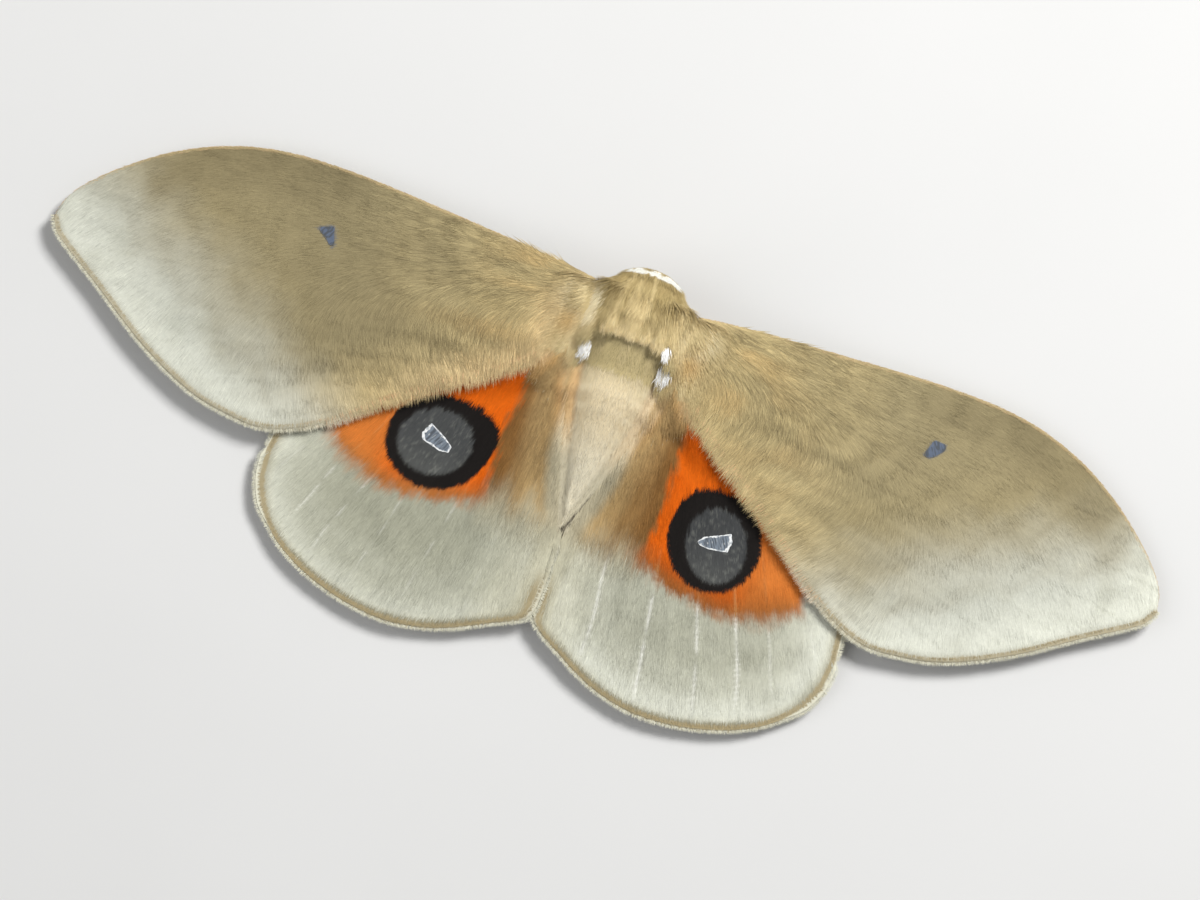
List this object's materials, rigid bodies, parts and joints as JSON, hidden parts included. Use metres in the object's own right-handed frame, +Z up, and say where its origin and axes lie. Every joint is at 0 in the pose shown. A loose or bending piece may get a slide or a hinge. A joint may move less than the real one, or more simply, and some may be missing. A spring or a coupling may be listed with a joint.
{
  "type": "emperor moth",
  "caption": "Life-size resting emperor moth with four spread wings, orange hindwing patches with eye spots, a furry body, feathered antennae and six legs.",
  "frame": {"origin": "on the floor, under the middle of the moth's box", "axes": "+X to the moth's right, +Y ahead of its head, +Z up"},
  "size_m": [0.1358, 0.0489, 0.0113],
  "materials": {
    "olive_coat": "olive-buff fur",
    "cream_coat": "cream woolly fur",
    "white_hair": "white hair",
    "forewing_coat": "olive-brown scales fading to pale grey",
    "hindwing_coat": "pale grey scales with an orange patch and an eye spot",
    "tawny_limb": "tawny scales and short hair",
    "eye": "glossy, finely faceted"
  },
  "bodies": {
    "root": {"collar": "white_hair", "thorax": "olive_coat", "abdomen": "cream_coat", "head": "olive_coat", "eye_l": "eye", "eye_r": "eye", "palp_l": "tawny_limb", "palp_r": "tawny_limb", "tegula_l": "olive_coat", "tegula_r": "olive_coat", "antenna_l": "tawny_limb", "antenna_r": "tawny_limb", "forewing_l": "forewing_coat", "forewing_r": "forewing_coat", "hindwing_l": "hindwing_coat", "hindwing_r": "hindwing_coat", "foreleg_l": "tawny_limb", "foreleg_r": "tawny_limb", "midleg_l": "tawny_limb", "midleg_r": "tawny_limb", "hindleg_l": "tawny_limb", "hindleg_r": "tawny_limb"}
  },
  "joints": []
}
